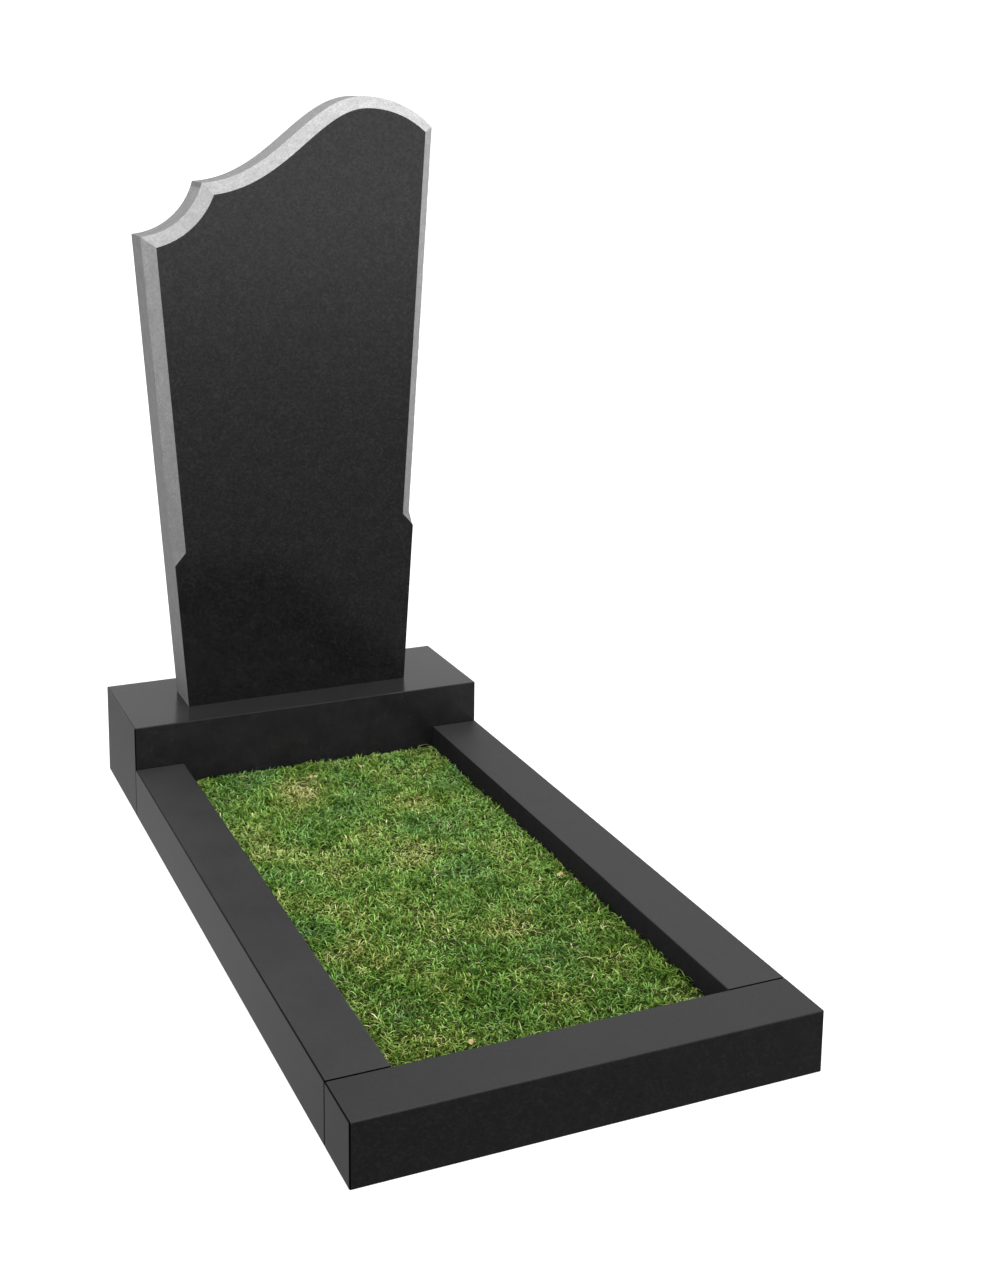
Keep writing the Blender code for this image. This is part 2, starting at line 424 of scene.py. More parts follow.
def blacken(material, first, second, where):
    """Cover the stone with the black of sealant and painted shade on either of two bands, but only
    somewhere.
    """
    bands = compute(material.node_tree, "MAXIMUM", first, second)
    mask = compute(material.node_tree, "MULTIPLY", bands, where)
    refine(material, "Base Color", lambda tree, bare: mix_colours(tree, mask, bare, SEALANT_AND_SHADE_BLACK))
    refine(material, "Metallic", lambda tree, ore: compute(tree, "MAXIMUM", ore, mask))


def paint_arris_shade(material, name):
    """Painted shade: a black line along a stone's outer arrises, where its side meets its top and
    its front.
    """
    tree = material.node_tree
    low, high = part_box(name)
    axes, outward = place_axes(tree)
    outside = compute(tree, "GREATER_THAN", outward, max(-low.x, high.x) - BLACK_BAND_REACH)
    at_top = compute(tree, "GREATER_THAN", axes["Z"], high.z - BLACK_BAND_REACH)
    at_front = compute(tree, "LESS_THAN", axes["Y"], low.y + BLACK_BAND_REACH)
    blacken(material, at_top, at_front, outside)


def finish_kerb(material):
    """Black the joints of a kerb's stone, sealant with painted shade on their arrises, and dull
    its faces towards the lawn.
    """
    tree = material.node_tree
    axes, outward = place_axes(tree)
    beside = compute(tree, "GREATER_THAN", outward, LAWN_EDGE - EDGE_TOLERANCE)
    near = [compute(tree, "COMPARE", axes["Y"], joint, BLACK_BAND_REACH) for joint in JOINTS]
    blacken(material, *near, beside)
    inner = compute(tree, "LESS_THAN", outward, LAWN_EDGE + EDGE_TOLERANCE)
    refine(material, "Roughness", lambda tree, shine: mix_values(tree, inner, shine, DULL_SHINE))


finish_kerb(granites["satin"])
# The outer arrises get a painted shade line.
paint_arris_shade(granites["satin"], "kerb_left")
paint_arris_shade(granites["satin_shaded_front"], "kerb_front")
paint_arris_shade(granites["rubbed"], "plinth")
print("joints at", [round(joint, 4) for joint in JOINTS], "inner faces at", round(LAWN_EDGE, 4))

# %% [markdown]
# Where a chisel has opened the same stone, light scatters in the bruised crystals and the black
# turns to a light, mottled grey. The same finish is made in three tones, which paint light and
# shade into it: the two long sides are the darkest, and the chamfer that looks up along the swept
# top is the palest. Each tone also has painted light that rises along a direction, so it gets
# paler towards the top right of the slab. The bump is only the grain: the tool marks that one
# could feel are modelled in the mesh below.

# %% Hewn granite
HEWN_SHADES = (  # place among the crystals, share of the tone
    (0.00, (0.80, 0.80, 0.80)),
    (0.25, (0.93, 0.93, 0.93)),
    (0.80, (1.03, 1.03, 1.03)),
    (1.00, (1.18, 1.18, 1.17)),
)
HEWN_CLOUDS = ((0.34, grey(0.88)), (0.66, grey(1.0)))
HEWN_ROUGHNESS = (0.72, 0.88)
GRIT_PER_METRE = 700.0
GRIT_DEPTH = 0.0006


def add_bump(tree, height, strength, distance):
    """Let a height from 0 to 1 tilt the shading, as if it were a relief of that distance."""
    inputs = {"Height": height, "Strength": strength, "Distance": distance}
    bump = add_node(tree, "Bump", inputs)["Normal"]
    feed(tree, tree.nodes["Principled BSDF"].inputs["Normal"], bump)


def hewn_granite(name, tone, lit_towards, span, shares):
    """Chiselled stone; over the span along a direction, its tone goes from share to share, as
    painted light.
    """
    material, tree, shader = new_material(name, grey(tone), HEWN_ROUGHNESS[0])
    place, pattern = add_crystals(tree, 420.0, 55.0)
    stops = [(share, [tone * part for part in change]) for share, change in HEWN_SHADES]
    shades = add_ramp(tree, pattern["Crystal"], stops)
    clouds = add_ramp(tree, pattern["Cloud"], HEWN_CLOUDS)
    mottled = multiply_colours(tree, shades, clouds)
    along = add_node(tree, "VectorMath", {0: place, 1: lit_towards}, operation="DOT_PRODUCT")
    painted_light = map_range(tree, along["Value"], span, shares)
    feed(tree, shader["Base Color"], multiply_colours(tree, mottled, painted_light))
    feed(tree, shader["Roughness"], map_range(tree, pattern["Crystal"], (0, 1), HEWN_ROUGHNESS))
    add_bump(tree, add_noise(tree, place, GRIT_PER_METRE, 3.0), 0.6, GRIT_DEPTH)
    return material


UP = (0, 0, 1)
UP_RIGHT = (0.3, 0, 1)
RIGHT = (1, 0, 0)
# Three tones of one finish: the sides painted darker as shade, the chamfer that looks up painted
# palest as light.
hewn_shaded_side = hewn_granite("granite_hewn_shaded_side", 0.158, UP, (0.15, 1.0), (0.98, 1.03))
hewn_edge = hewn_granite("granite_hewn_edge", 0.205, UP_RIGHT, (0.35, 1.15), (0.80, 1.42))
hewn_lit_top = hewn_granite("granite_hewn_lit_top", 0.435, RIGHT, (-0.20, 0.08), (0.83, 1.08))
print("hewn:", hewn_shaded_side.name, hewn_edge.name, hewn_lit_top.name)

# %% [markdown]
# The slab is sawn flat on its front and back and polished there. Its sides, its swept top and
# the chamfer round the front are hewn. The solid already has the right outline, so a copy of it
# is the start. Its loose triangles are merged first, flat neighbours are joined, and the two
# polished faces are taken off for now, which leaves a band of clean quads all the way round.

# %% The slab's band
MERGE_DISTANCE = 0.00001
FLAT_ANGLE = math.radians(0.05)
PAIR_ANGLE = math.radians(20)
FACING = 0.99  # a normal with this share of Y belongs to the front or the back
CROSSING = 0.01  # one with less than this runs straight back
DOWNWARDS = -0.9


def edit(piece, select_mode="FACE"):
    """Go into edit mode on one piece, with nothing else selected."""
    if bpy.context.object and bpy.context.object.mode != "OBJECT":
        bpy.ops.object.mode_set(mode="OBJECT")
    bpy.ops.object.select_all(action="DESELECT")
    piece.select_set(True)
    bpy.context.view_layer.objects.active = piece
    bpy.ops.object.mode_set(mode="EDIT")
    bpy.ops.mesh.select_mode(type=select_mode)
    bpy.ops.mesh.select_all(action="DESELECT")
    return bmesh.from_edit_mesh(piece.data)


def select_parts(piece, select_mode, wanted):
    """Select the faces or edges for which wanted(part) is true; returns how many."""
    shape = edit(piece, select_mode)
    count = 0
    for part in shape.faces if select_mode == "FACE" else shape.edges:
        if wanted(part):
            part.select_set(True)
            count += 1
    bmesh.update_edit_mesh(piece.data)
    return count


def finish_edit():
    """Back to object mode."""
    bpy.ops.object.mode_set(mode="OBJECT")


def face_outwards(piece):
    """Turn all faces of a closed shape outwards."""
    edit(piece)
    bpy.ops.mesh.select_all(action="SELECT")
    bpy.ops.mesh.normals_make_consistent(inside=False)
    finish_edit()


def is_polished(face):
    """True on the slab's front and back."""
    return abs(face.normal.y) > FACING


def is_side(face):
    """True on the faces that run straight back, the foot left out."""
    return abs(face.normal.y) < CROSSING and face.normal.z > DOWNWARDS


def stop_heights(piece):
    """Where the chamfer begins and ends on the two long sides, which are then cut there."""
    shape = edit(piece)
    heights = set()
    for face in shape.faces:
        if is_side(face) and len(face.verts) > 4:
            inner = sorted(vert.co.z for vert in face.verts)[2:-2]
            heights.update(round(height, 6) for height in inner)
    return sorted(heights)


slab = bpy.data.objects.new("slab", nodes["stele"].data.copy())
bpy.context.scene.collection.objects.link(slab)
edit(slab)
bpy.ops.mesh.customdata_custom_splitnormals_clear()
bpy.ops.mesh.select_all(action="SELECT")
bpy.ops.mesh.remove_doubles(threshold=MERGE_DISTANCE)
bpy.ops.mesh.dissolve_limited(angle_limit=FLAT_ANGLE)
bpy.ops.mesh.tris_convert_to_quads(face_threshold=PAIR_ANGLE, shape_threshold=math.pi)
select_parts(slab, "FACE", is_polished)
bpy.ops.mesh.delete(type="ONLY_FACE")
for height in stop_heights(slab):
    select_parts(slab, "FACE", is_side)
    bpy.ops.mesh.bisect(plane_co=(0, 0, height), plane_no=UP)
finish_edit()
print("band:", len(slab.data.polygons), "faces")

# %% [markdown]
# Tool marks need a fine, even mesh. Each quad of the band is cut along the outline into cells of
# about 2.5 mm, and then across, from the front to the back. Cutting both long edges of a quad by
# the same number keeps the cells square, so the number is worked out once for each quad.

# %% Even cells on the band
FIRST_CELL = 0.06  # the subdivide operator makes no more than 100 cuts at a time
CELL = 0.0025
SIDE_CELLS = 26
CHAMFER_CELLS = 11
SIDE_RUNG = 0.9  # share of Y in the direction of an edge that crosses a side
CHAMFER_RUNG = 0.3


def touches_side(edge):
    """True on the edges of the sides, also where a side meets the chamfer."""
    return any(is_side(face) for face in edge.link_faces)


def is_rung(edge):
    """True on edges that cross the band, from the front to the back."""
    along = edge.verts[1].co - edge.verts[0].co
    least = SIDE_RUNG if touches_side(edge) else CHAMFER_RUNG
    return abs(along.y) > least * along.length


def cuts_by_edge(shape, cell):
    """How often each long edge is cut, the same along all edges of one column."""
    cuts = {}
    for face in shape.faces:
        if not is_side(face):
            continue
        long_edges = [edge for edge in face.edges if not is_rung(edge)]
        longest = max(edge.calc_length() for edge in long_edges)
        count = max(round(longest / cell) - 1, 0)
        for edge in long_edges:
            cuts[edge.index] = count
    for face in shape.faces:
        if is_side(face) or len(face.edges) != 4:
            continue
        known = [cuts[edge.index] for edge in face.edges if edge.index in cuts]
        for edge in face.edges:
            if known and not is_rung(edge):
                cuts.setdefault(edge.index, max(known))
    return cuts


def cut_columns(cell):
    """Cut the band along the outline into cells of this length."""
    shape = edit(slab, "EDGE")
    shape.edges.index_update()
    plan = cuts_by_edge(shape, cell)
    marks = shape.edges.layers.int.new("cuts")
    for edge in shape.edges:
        edge[marks] = plan.get(edge.index, 0)
    for count in sorted(set(plan.values()) - {0}):
        shape = edit(slab, "EDGE")
        marks = shape.edges.layers.int["cuts"]
        for edge in shape.edges:
            if edge[marks] == count:
                edge[marks] = 0
                edge.select_set(True)
        bmesh.update_edit_mesh(slab.data)
        bpy.ops.mesh.subdivide(number_cuts=count)
    shape = edit(slab, "EDGE")
    shape.edges.layers.int.remove(shape.edges.layers.int["cuts"])
    bmesh.update_edit_mesh(slab.data)


cut_columns(FIRST_CELL)
cut_columns(CELL)
for cells_across, on_sides in ((SIDE_CELLS, True), (CHAMFER_CELLS, False)):
    select_parts(slab, "EDGE", lambda edge: is_rung(edge) and on_sides == touches_side(edge))
    bpy.ops.mesh.subdivide(number_cuts=cells_across - 1)
finish_edit()
print("band:", len(slab.data.polygons), "faces")

# %% [markdown]
# Now the two polished faces go back on: the open edges at the front and at the back are each
# filled with one flat face. Then every hewn face gets its finish, and the chamfer that looks up
# along the swept top gets the palest tone, as painted light.

# %% The slab's polished faces and finishes
POLISHED, SIDE, EDGE, LIT_TOP = range(4)  # the slab's materials by number
STOPS_BELOW = 0.6  # the chamfer's two stops lie below this height, and the swept top above it
CHAMFER_FACING = -0.3  # the chamfer's normal has less Y than this
UPRIGHT = 0.95  # a side's normal has more X than this
SKYWARDS = 0.2  # the palest chamfer's normal has more Z than this

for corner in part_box("stele"):
    select_parts(
        slab,
        "EDGE",
        lambda edge: edge.is_boundary
        and all(abs(vert.co.y - corner.y) < MERGE_DISTANCE for vert in edge.verts),
    )
    bpy.ops.mesh.edge_face_add()
face_outwards(slab)
slab.data.materials.clear()
for material in (granites["polished"], hewn_shaded_side, hewn_edge, hewn_lit_top):
    slab.data.materials.append(material)


def finish_of(face):
    """The number of the material on a face of the slab, from its direction and its height."""
    normal = face.normal
    if is_polished(face) or normal.z < DOWNWARDS:
        return POLISHED
    if normal.y > CHAMFER_FACING:
        return SIDE if abs(normal.x) > UPRIGHT else EDGE
    return LIT_TOP if normal.z > SKYWARDS and face.center.z > STOPS_BELOW else EDGE


for face in slab.data.polygons:
    face.material_index = finish_of(face)
open_edges = select_parts(slab, "EDGE", lambda edge: not edge.is_manifold)
finish_edit()
print("slab:", len(slab.data.polygons), "faces, open edges:", open_edges)

# %% [markdown]
# The chisel's marks are a relief of less than a millimetre. Two Displace modifiers press them in
# with procedural textures, a coarse one for the waves that the hand leaves and a fine one for
# the pits. A vertex group holds them off the edges of the polished faces, and the middle level
# of 1 means that stone is only ever taken away.

# %% Tool marks on the slab
MARKS = (  # name, size of the marks, depth
    ("waves", 0.016, 0.0009),
    ("pits", 0.0045, 0.0007),
)
HEWN_SMOOTH = math.radians(35)  # shading runs on over edges blunter than this


def lumpy_texture(name, size, octaves):
    """A procedural texture of soft lumps, for a Displace modifier."""
    texture = bpy.data.textures.new(name, "CLOUDS")
    texture.noise_scale = size
    texture.noise_depth = octaves
    return texture


def add_modifier(piece, kind, **settings):
    """Put one modifier on a piece and apply it at once."""
    modifier = piece.modifiers.new(kind.lower(), kind)
    for setting, value in settings.items():
        setattr(modifier, setting, value)
    bpy.context.view_layer.objects.active = piece
    bpy.ops.object.modifier_apply(modifier=modifier.name)


def vertices_of(polygons):
    """The numbers of all vertices of some faces."""
    return {vertex for face in polygons for vertex in face.vertices}


hewn_faces = [face for face in slab.data.polygons if face.material_index != POLISHED]
flat_faces = [face for face in slab.data.polygons if face.material_index == POLISHED]
relief = slab.vertex_groups.new(name="relief")
relief.add(sorted(vertices_of(hewn_faces) - vertices_of(flat_faces)), 1.0, "REPLACE")
for name, size, depth in MARKS:
    add_modifier(
        slab,
        "DISPLACE",
        texture=lumpy_texture(name, size, 2),
        texture_coords="LOCAL",
        mid_level=1.0,
        strength=depth,
        vertex_group=relief.name,
    )
bpy.ops.object.shade_smooth_by_angle(angle=HEWN_SMOOTH)
select_parts(
    slab,
    "EDGE",
    lambda edge: len({face.material_index == POLISHED for face in edge.link_faces}) == 2,
)
bpy.ops.mesh.mark_sharp()
select_parts(slab, "FACE", lambda face: face.material_index == POLISHED)
bpy.ops.mesh.faces_shade_flat()
finish_edit()
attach(slab, "root")
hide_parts("stele")
print("slab in metres:", [round(value, 4) for value in slab.dimensions])

# %% [markdown]
# The bed inside the kerb is soil with a felt of old roots and clippings on it, about a centimetre
# below the tips of the grass. Little of it shows between the blades, but it sets how dark the
# gaps are. It is a grid, pushed down to the ground to close it, with a lumpy top.

# %% Soil
BED_LOW, BED_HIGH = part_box("turf_bed")
SOIL_HEIGHT = 0.0430
SOIL_CELL = 0.007
SOIL_LUMP_SIZE = 0.02
SOIL_LUMPS = 0.006
SOIL_SMOOTH = math.radians(50)

bed_size = BED_HIGH - BED_LOW
bed_middle = (BED_LOW + BED_HIGH) / 2
bpy.ops.object.select_all(action="DESELECT")
bpy.ops.mesh.primitive_grid_add(
    x_subdivisions=round(bed_size.x / SOIL_CELL),
    y_subdivisions=round(bed_size.y / SOIL_CELL),
    size=1,
    location=(bed_middle.x, bed_middle.y, SOIL_HEIGHT),
)
soil = bpy.context.object
soil.name = "soil"
soil.scale = (bed_size.x, bed_size.y, 1)
bpy.ops.object.transform_apply(location=True, rotation=True, scale=True)
edit(soil)
bpy.ops.mesh.select_all(action="SELECT")
bpy.ops.mesh.extrude_region_move(
    TRANSFORM_OT_translate={"value": (0, 0, BED_LOW.z - SOIL_HEIGHT)}
)
face_outwards(soil)
top = soil.vertex_groups.new(name="top")
on_top = [vertex.index for vertex in soil.data.vertices if vertex.co.z > SOIL_HEIGHT - SOIL_CELL]
top.add(on_top, 1.0, "REPLACE")
add_modifier(
    soil,
    "DISPLACE",
    texture=lumpy_texture("lumps", SOIL_LUMP_SIZE, 3),
    texture_coords="LOCAL",
    direction="Z",
    strength=SOIL_LUMPS,
    vertex_group=top.name,
)
bpy.ops.object.shade_smooth_by_angle(angle=SOIL_SMOOTH)
print("soil:", len(soil.data.polygons), "faces")

# %% [markdown]
# The soil's colour goes from wet green-black in the hollows to the straw of old clippings, over
# a fine noise that also gives the crumbs their relief.

# %% Soil material
SOIL_COLOURS = (
    (0.30, (0.010, 0.022, 0.003)),
    (0.50, (0.028, 0.044, 0.008)),
    (0.62, (0.065, 0.070, 0.022)),
    (0.75, (0.130, 0.115, 0.045)),
)
CRUMBS_PER_METRE = 260.0
CRUMB_DEPTH = 0.002

earth, tree, shader = new_material("soil", SOIL_COLOURS[1][1], 0.95, Specular_IOR_Level=0.1)
place = add_node(tree, "TexCoord", {})["Object"]
crumbs = add_noise(tree, place, CRUMBS_PER_METRE, 5.0)
feed(tree, shader["Base Color"], add_ramp(tree, crumbs, SOIL_COLOURS))
add_bump(tree, crumbs, 0.8, CRUMB_DEPTH)
soil.data.materials.append(earth)
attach(soil, "root")
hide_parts("turf_bed")
print("material:", earth.name)

# %% [markdown]
# A blade of grass is a folded strip with a keel underneath. It is widest near its foot and bends
# over to a point. Each pattern blade starts as a circle of three corners, pressed flat. It is
# drawn up in steps, every step turned over a little further and made narrower, and its last
# section is merged to a point, so that the blade is a closed solid. Mown blades are short and
# bend once, in ten triangles. Only the long ones and the dead straws take sixteen.

# %% Pattern blades
PATTERNS = (  # length, width, bend over the whole length in degrees, share of all blades
    (0.0105, 0.0020, 70, 0.24),
    (0.0090, 0.0022, 110, 0.22),
    (0.0125, 0.0017, 50, 0.20),
    (0.0075, 0.0026, 140, 0.16),
    (0.0185, 0.0017, 100, 0.10),
    (0.0220, 0.0014, 130, 0.08),
    (0.0300, 0.0013, 35, 0.00),
)
STRAW_PATTERN = len(PATTERNS) - 1
LONG_BLADE = 0.018
KEEL = 0.35  # the keel's height as a share of the blade's width
CORNERS = 3
SHORT_TAPERS = (0.85, 0.40)  # how much narrower each section is than the one below
LONG_TAPERS = (0.92, 0.72, 0.40)


def make_blade(length, width, bend, tapers):
    """One blade along +Z, bent over towards +Y, with its foot's middle at the origin."""
    bpy.ops.object.select_all(action="DESELECT")
    bpy.ops.mesh.primitive_circle_add(
        vertices=CORNERS, radius=width / math.sqrt(3), fill_type="NGON"
    )
    blade = bpy.context.object
    edit(blade)
    bpy.ops.mesh.select_all(action="SELECT")
    bpy.ops.transform.resize(value=(1, KEEL, 1))
    turn = bend / len(tapers)
    middle = Vector()
    for index, taper in enumerate(tapers):
        angle = turn * (index + 0.5)
        rise = Vector((0, math.sin(angle), math.cos(angle))) * length / len(tapers)
        middle += rise
        bpy.ops.mesh.extrude_region_move(TRANSFORM_OT_translate={"value": rise})
        bpy.ops.transform.resize(value=(taper, taper, taper), center_override=middle)
        bpy.ops.transform.rotate(value=turn, orient_axis="X", center_override=middle)
    bpy.ops.mesh.merge(type="CENTER")
    bpy.ops.mesh.select_all(action="SELECT")
    bpy.ops.mesh.quads_convert_to_tris()
    face_outwards(blade)
    return blade


def read_blade(blade, sections):
    """The blade's vertices, its triangles and how far up each vertex is, from 0 to 1."""
    mesh = blade.data
    vertices = np.array([vertex.co for vertex in mesh.vertices])
    triangles = np.array([list(face.vertices) for face in mesh.polygons])
    steps = np.arange(len(vertices)) // CORNERS / sections
    bpy.data.objects.remove(blade)
    return vertices, triangles, steps


patterns = []
for length, width, bend, share in PATTERNS:
    tapers = LONG_TAPERS if length > LONG_BLADE else SHORT_TAPERS
    blade = make_blade(length, width, math.radians(bend), tapers)
    patterns.append(read_blade(blade, len(tapers)))
print("triangles of the pattern blades:", [len(triangles) for _, triangles, _ in patterns])

# %% [markdown]
# Grass grows in tufts, a few blades from one root, and a lawn is patchy: some tufts are lush and
# dark, others thin, yellow or dried to straw. Copying some seventy thousand blades by hand would
# take far too long, so the copies are placed by arithmetic on arrays. The helpers here turn many
# copies of one pattern at a time, mow them, keep them off the stones and make them one mesh.

# %% Placing blades
SHORTEST_BLADE = 0.004
BLADE_SMOOTH = math.radians(40)
STONE_GAP = 0.0004
low = np.array(BED_LOW) + STONE_GAP
high = np.array(BED_HIGH) - STONE_GAP
print("lawn in metres:", (high - low)[:2].round(4))


def turn_matrices(lean, heading):
    """One matrix for each blade: lean over towards +Y, then turn round to a heading."""
    cos_lean, sin_lean = np.cos(lean), np.sin(lean)
    cos_turn, sin_turn = np.cos(heading), np.sin(heading)
    nought, one = np.zeros_like(lean), np.ones_like(lean)
    over = [one, nought, nought, nought, cos_lean, sin_lean, nought, -sin_lean, cos_lean]
    round_z = [cos_turn, -sin_turn, nought, sin_turn, cos_turn, nought, nought, nought, one]
    return np.stack(round_z, 1).reshape(-1, 3, 3) @ np.stack(over, 1).reshape(-1, 3, 3)


def place_blades(pattern, feet, lean, heading, scale, highest):
    """Copies of one pattern: turned, put on their feet, mown and kept off the stones."""
    turned = np.einsum("kij,nj->kni", turn_matrices(lean, heading), patterns[pattern][0])
    points = turned * scale[:, None, None]
    above = points[:, :, 2].max(1)
    allowed = np.maximum(highest - feet[:, 2], SHORTEST_BLADE)
    points[:, :, 2] *= np.minimum(1, allowed / above)[:, None]
    points += feet[:, None, :]
    for axis in (0, 1):
        short = np.maximum(low[axis] - points[:, :, axis].min(1), 0)
        over = np.maximum(points[:, :, axis].max(1) - high[axis], 0)
        points[:, :, axis] += (short - over)[:, None]
    return points


def blades_to_piece(name, groups, material):
    """One object from many placed blades; groups holds (pattern, points, shade, dryness)."""
    vertices, triangles, colours = [], [], []
    count = 0
    for pattern, points, shade, dryness in groups:
        copies, size = points.shape[:2]
        first = count + np.arange(copies) * size
        triangles.append((patterns[pattern][1][None] + first[:, None, None]).reshape(-1, 3))
        vertices.append(points.reshape(-1, 3))
        colour = np.ones((copies, size, 4))
        colour[:, :, 0] = shade[:, None]
        colour[:, :, 1] = patterns[pattern][2][None]
        colour[:, :, 2] = dryness[:, None]
        colours.append(colour.reshape(-1, 4))
        count += copies * size
    mesh = bpy.data.meshes.new(name)
    mesh.from_pydata(np.concatenate(vertices), [], np.concatenate(triangles))
    tint = mesh.color_attributes.new(name="blade", type="FLOAT_COLOR", domain="POINT")
    tint.data.foreach_set("color", np.concatenate(colours).astype(np.float32).ravel())
    mesh.materials.append(material)
    piece = bpy.data.objects.new(name, mesh)
    bpy.context.scene.collection.objects.link(piece)
    bpy.ops.object.select_all(action="DESELECT")
    piece.select_set(True)
    bpy.context.view_layer.objects.active = piece
    bpy.ops.object.shade_smooth_by_angle(angle=BLADE_SMOOTH)
    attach(piece, "root")
    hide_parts("turf_bed")
    print(name + ":", len(mesh.polygons), "triangles")


# %% [markdown]
# The blades share one material. Every blade carries its own colour attribute: red is how light
# it is, green is how far up the blade a point is, and blue is how dry it is. Dryness picks the
# hue from a ramp, from a cool green over a fresh and a yellow one to straw. The foot of a blade
# is darker than its tip, because little light reaches it and the green fades there. In the
# photograph the polished stones hold no green, so a glossy ray finds the lawn in grey.

# %% Grass material
HUES = (
    (0.00, (0.150, 0.300, 0.076)),
    (0.30, (0.178, 0.365, 0.056)),
    (0.60, (0.295, 0.415, 0.082)),
    (0.82, (0.460, 0.460, 0.150)),
    (1.00, (0.640, 0.590, 0.270)),
)
# The lightest blades turn pale and bluish: partly their own lightness, partly a painted sheen.
LIGHTNESS_AND_SHEEN = ((0.0, (0.26, 0.33, 0.10)), (0.5, (1.24, 1.18, 1.20)), (1.0, (2.50, 2.30, 3.80)))
# The ramp below darkens the foot of each blade: partly fading green, partly painted shade.
FADING_AND_SHADE = ((0.0, (0.15, 0.20, 0.07)), (0.45, (0.58, 0.62, 0.50)), (0.85, (1.0, 1.0, 1.0)))

grass, tree, shader = new_material("grass", HUES[0][1], 0.45, Specular_IOR_Level=0.10)
attribute = add_node(tree, "Attribute", {}, attribute_name="blade")["Color"]
parts = add_node(tree, "SeparateColor", {"Color": attribute})
hue = add_ramp(tree, parts["Blue"], HUES)
lit = multiply_colours(tree, hue, add_ramp(tree, parts["Red"], LIGHTNESS_AND_SHEEN))
colour = multiply_colours(tree, lit, add_ramp(tree, parts["Green"], FADING_AND_SHADE))
in_grey = add_node(tree, "RGBToBW", {"Color": colour})["Val"]
mirrored = add_node(tree, "LightPath", {})["Is Glossy Ray"]
feed(tree, shader["Base Color"], mix_colours(tree, mirrored, colour, in_grey))
print("material:", grass.name)

# %% [markdown]
# Now the lawn itself. Tufts stand on a jittered grid, so that no hole is left by chance, and
# each throws its blades outwards. Noise over the bed decides how each patch grows, and a seeded
# generator draws the rest, the same on each run.

# %% Lawn
SEED = 11
TUFT_SPACING = 0.0052
BLADES_PER_TUFT = 5
TUFT_SPREAD = 0.0025
ROOT_HEIGHT = 0.0425
MOWN_HEIGHT = 0.0515
MOWN_ROUGHNESS = 0.0025
UNEVEN_TIPS = 0.6  # how unevenly the tips of one patch are mown, as a share of the roughness
PATCHES = {"lush": (0.055, 3.7), "dry": (0.085, 11.2), "tone": (0.016, 23.9)}  # size, drift
LEAN = (2.2, 18.0)  # shape and size, in degrees, of the spread of leans
MOST_LEAN = math.radians(85)
BLADE_SCALES = (0.75, 1.15)
LUSH_GROWTH = 0.25
SHADE, SHADE_BY_TONE, SHADE_BY_LUSH, SHADE_SPREAD = 0.52, 0.60, 0.25, 0.28
DRYNESS, DRYNESS_BY_PATCH, DRYNESS_BY_LUSH, DRYNESS_SPREAD = 0.36, 0.55, 0.15, 0.13
# Only the colour gets darker towards the front; the blades there grow as elsewhere.
DARKER_FRONT = (0.05, -0.30)  # over this length the lawn gets darker towards the front
FRONT_SHADE = 0.21
DEAD_SHARE = 0.03
DEAD = 0.95
DRIEST_LIVE = 0.85

random_numbers = np.random.default_rng(SEED)


def patchiness(places, size, drift):
    """Smooth noise over the bed, about -1 to 1, with patches of a given size."""
    shifted = places / size + drift
    return np.array([noise.noise((x, y, drift)) for x, y in shifted])


columns = round(bed_size.x / TUFT_SPACING)
rows = round(bed_size.y / TUFT_SPACING)
across, along = np.meshgrid(np.arange(columns), np.arange(rows))
grid = np.stack([across.ravel(), along.ravel()], 1) + 0.5
grid = grid + random_numbers.uniform(-0.5, 0.5, grid.shape)
tufts = low[:2] + grid / (columns, rows) * (high[:2] - low[:2])
owner = np.repeat(np.arange(len(tufts)), BLADES_PER_TUFT)
lush, dry, tone = [patchiness(tufts, *PATCHES[name])[owner] for name in ("lush", "dry", "tone")]
front = ((DARKER_FRONT[0] - tufts[:, 1]) / (DARKER_FRONT[0] - DARKER_FRONT[1])).clip(0, 1)[owner]

count = len(owner)
kind = random_numbers.choice(len(PATTERNS), count, p=[share for *_, share in PATTERNS])
heading = random_numbers.uniform(0, 2 * math.pi, count)
outwards = np.stack([-np.sin(heading), np.cos(heading)], 1)
spread = random_numbers.uniform(0, TUFT_SPREAD, (count, 1))
roots = ROOT_HEIGHT + MOWN_ROUGHNESS * lush
feet = np.concatenate([tufts[owner] + outwards * spread, roots[:, None]], 1)
lean = np.radians(random_numbers.gamma(*LEAN, count)).clip(0, MOST_LEAN)
scale = random_numbers.uniform(*BLADE_SCALES, count) * (1 + LUSH_GROWTH * lush)
tips = random_numbers.uniform(-UNEVEN_TIPS, UNEVEN_TIPS, count)
highest = MOWN_HEIGHT + MOWN_ROUGHNESS * (lush + tips)
shade = SHADE + SHADE_BY_TONE * tone - SHADE_BY_LUSH * lush
shade = shade + random_numbers.normal(0, SHADE_SPREAD, count) - FRONT_SHADE * front
dryness = DRYNESS + DRYNESS_BY_PATCH * dry - DRYNESS_BY_LUSH * lush
dryness = (dryness + random_numbers.normal(0, DRYNESS_SPREAD, count)).clip(0, DRIEST_LIVE)
dryness = np.where(random_numbers.random(count) < DEAD_SHARE, DEAD, dryness)
print("blades:", count)

# %% [markdown]
# On top lie a few hundred dead straws, which the mower left. They are the same kind of blade,
# long, thin and almost flat, and they are simply added to the end of each list. Then all blades
# are sorted by their place along the bed into a few strips, because a mesh of all of them would
# be too heavy for one piece.

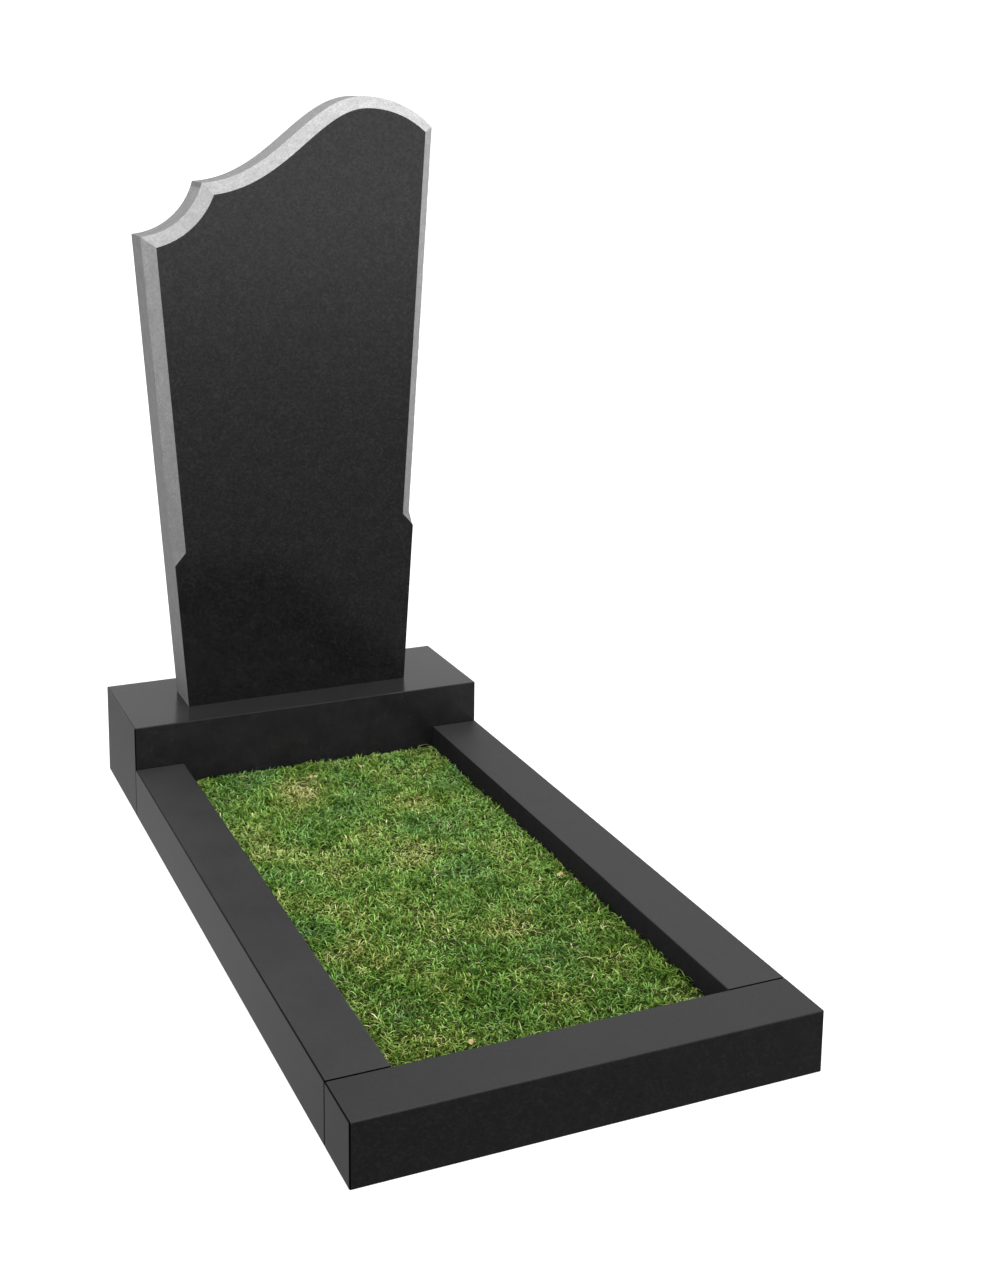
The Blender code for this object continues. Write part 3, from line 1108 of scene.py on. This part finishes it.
# %% Straws and strips
STRAWS = 280
STRAW_DEPTH = 0.002  # how far a straw's foot lies below the mown height
STRAW_RISE = 0.0025  # and how far above it the straw may reach
STRAW_LEANS = (72, 88)
STRAW_SCALES = (0.3, 0.9)
STRAW_SHADES = (0.35, 0.8)
STRAW_DRYNESS = (0.8, 1.0)
STRIPS = 5


def add_straws(values, straws):
    """One list of the blades with that of the straws at its end."""
    return np.concatenate([values, straws])


straw_places = low[:2] + random_numbers.random((STRAWS, 2)) * (high[:2] - low[:2])
straw_roots = np.full((STRAWS, 1), MOWN_HEIGHT - STRAW_DEPTH)
feet = add_straws(feet, np.concatenate([straw_places, straw_roots], 1))
kind = add_straws(kind, np.full(STRAWS, STRAW_PATTERN))
lean = add_straws(lean, np.radians(random_numbers.uniform(*STRAW_LEANS, STRAWS)))
heading = add_straws(heading, random_numbers.uniform(0, 2 * math.pi, STRAWS))
scale = add_straws(scale, random_numbers.uniform(*STRAW_SCALES, STRAWS))
highest = add_straws(highest, np.full(STRAWS, MOWN_HEIGHT + STRAW_RISE))
shade = add_straws(shade, random_numbers.uniform(*STRAW_SHADES, STRAWS)).clip(0, 1)
dryness = add_straws(dryness, random_numbers.uniform(*STRAW_DRYNESS, STRAWS))
strip = ((feet[:, 1] - BED_LOW.y) / bed_size.y * STRIPS).astype(int).clip(0, STRIPS - 1)
for number in range(STRIPS):
    groups = []
    for pattern in range(len(patterns)):
        chosen = (strip == number) & (kind == pattern)
        placing = [values[chosen] for values in (feet, lean, heading, scale, highest)]
        groups.append((pattern, place_blades(pattern, *placing), shade[chosen], dryness[chosen]))
    blades_to_piece(f"grass_strip_{number + 1}", groups, grass)

# %% [markdown]
# Three dry leaves, the size of a fingernail, have blown onto the lawn. Each starts as a small
# grid. Its columns are narrowed to an oval with two points, one modifier crumples it, one rolls
# it up a little and one gives it a thin wall. It lies on the tips of the grass.

# %% Dry leaves
LEAVES = (  # place on the lawn, length, heading and roll in degrees
    ((0.194, -0.133), 0.0160, 35, 70),
    ((-0.023, 0.322), 0.0190, 5, 95),
    ((-0.100, -0.475), 0.0130, 60, 60),
)
LEAF_BREADTH = 0.55  # as a share of its length
LEAF_POINT = 0.06  # the breadth of its two ends, as a share of that in the middle
LEAF_WALL = 0.0004
LEAF_CELLS = (12, 8)
LEAF_HEIGHT = 0.0525
LEAF_CRUMPLE = 0.0025
CRUMPLE_SIZE = 0.004
LEAF_COLOURS = ((0.30, (0.24, 0.16, 0.05)), (0.50, (0.50, 0.40, 0.16)), (0.70, (0.68, 0.60, 0.32)))
VEINS_PER_METRE = 420.0
LEAF_SMOOTH = math.radians(50)

dry_leaf, tree, shader = new_material("dry_leaf", LEAF_COLOURS[1][1], 0.7)
place = add_node(tree, "TexCoord", {})["Object"]
veins = add_noise(tree, place, VEINS_PER_METRE, 4.0)
feed(tree, shader["Base Color"], add_ramp(tree, veins, LEAF_COLOURS))
crumple = lumpy_texture("crumple", CRUMPLE_SIZE, 2)


def narrow_to_oval(leaf, length):
    """Narrow each column of the leaf's grid, the outer ones almost to a point."""
    shape = edit(leaf, "VERT")
    for column in sorted({round(vertex.co.x, 6) for vertex in shape.verts}):
        for vertex in shape.verts:
            vertex.select_set(abs(vertex.co.x - column) < MERGE_DISTANCE)
        bmesh.update_edit_mesh(leaf.data)
        oval = max(math.cos(column / length * math.pi), LEAF_POINT) * LEAF_BREADTH
        bpy.ops.transform.resize(value=(1, oval, 1), center_override=(column, 0, 0))
        shape = bmesh.from_edit_mesh(leaf.data)
    finish_edit()


for number, (place, length, heading, roll) in enumerate(LEAVES, start=1):
    bpy.ops.object.select_all(action="DESELECT")
    bpy.ops.mesh.primitive_grid_add(
        x_subdivisions=LEAF_CELLS[0], y_subdivisions=LEAF_CELLS[1], size=length
    )
    leaf = bpy.context.object
    leaf.name = f"dry_leaf_{number}"
    narrow_to_oval(leaf, length)
    add_modifier(
        leaf, "DISPLACE", texture=crumple, texture_coords="LOCAL", strength=LEAF_CRUMPLE
    )
    bend = {"deform_method": "BEND", "deform_axis": "X", "angle": math.radians(roll)}
    add_modifier(leaf, "SIMPLE_DEFORM", **bend)
    add_modifier(leaf, "SOLIDIFY", thickness=LEAF_WALL)
    leaf.location = (*place, 0)
    leaf.rotation_euler.z = math.radians(heading)
    bpy.ops.object.transform_apply(location=True, rotation=True, scale=True)
    leaf.location.z = LEAF_HEIGHT - min(vertex.co.z for vertex in leaf.data.vertices)
    bpy.ops.object.transform_apply(location=True, rotation=False, scale=False)
    bpy.ops.object.shade_smooth_by_angle(angle=LEAF_SMOOTH)
    leaf.data.materials.append(dry_leaf)
    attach(leaf, "root")
    print(leaf.name + ":", [round(value * 1000, 1) for value in leaf.dimensions], "mm")
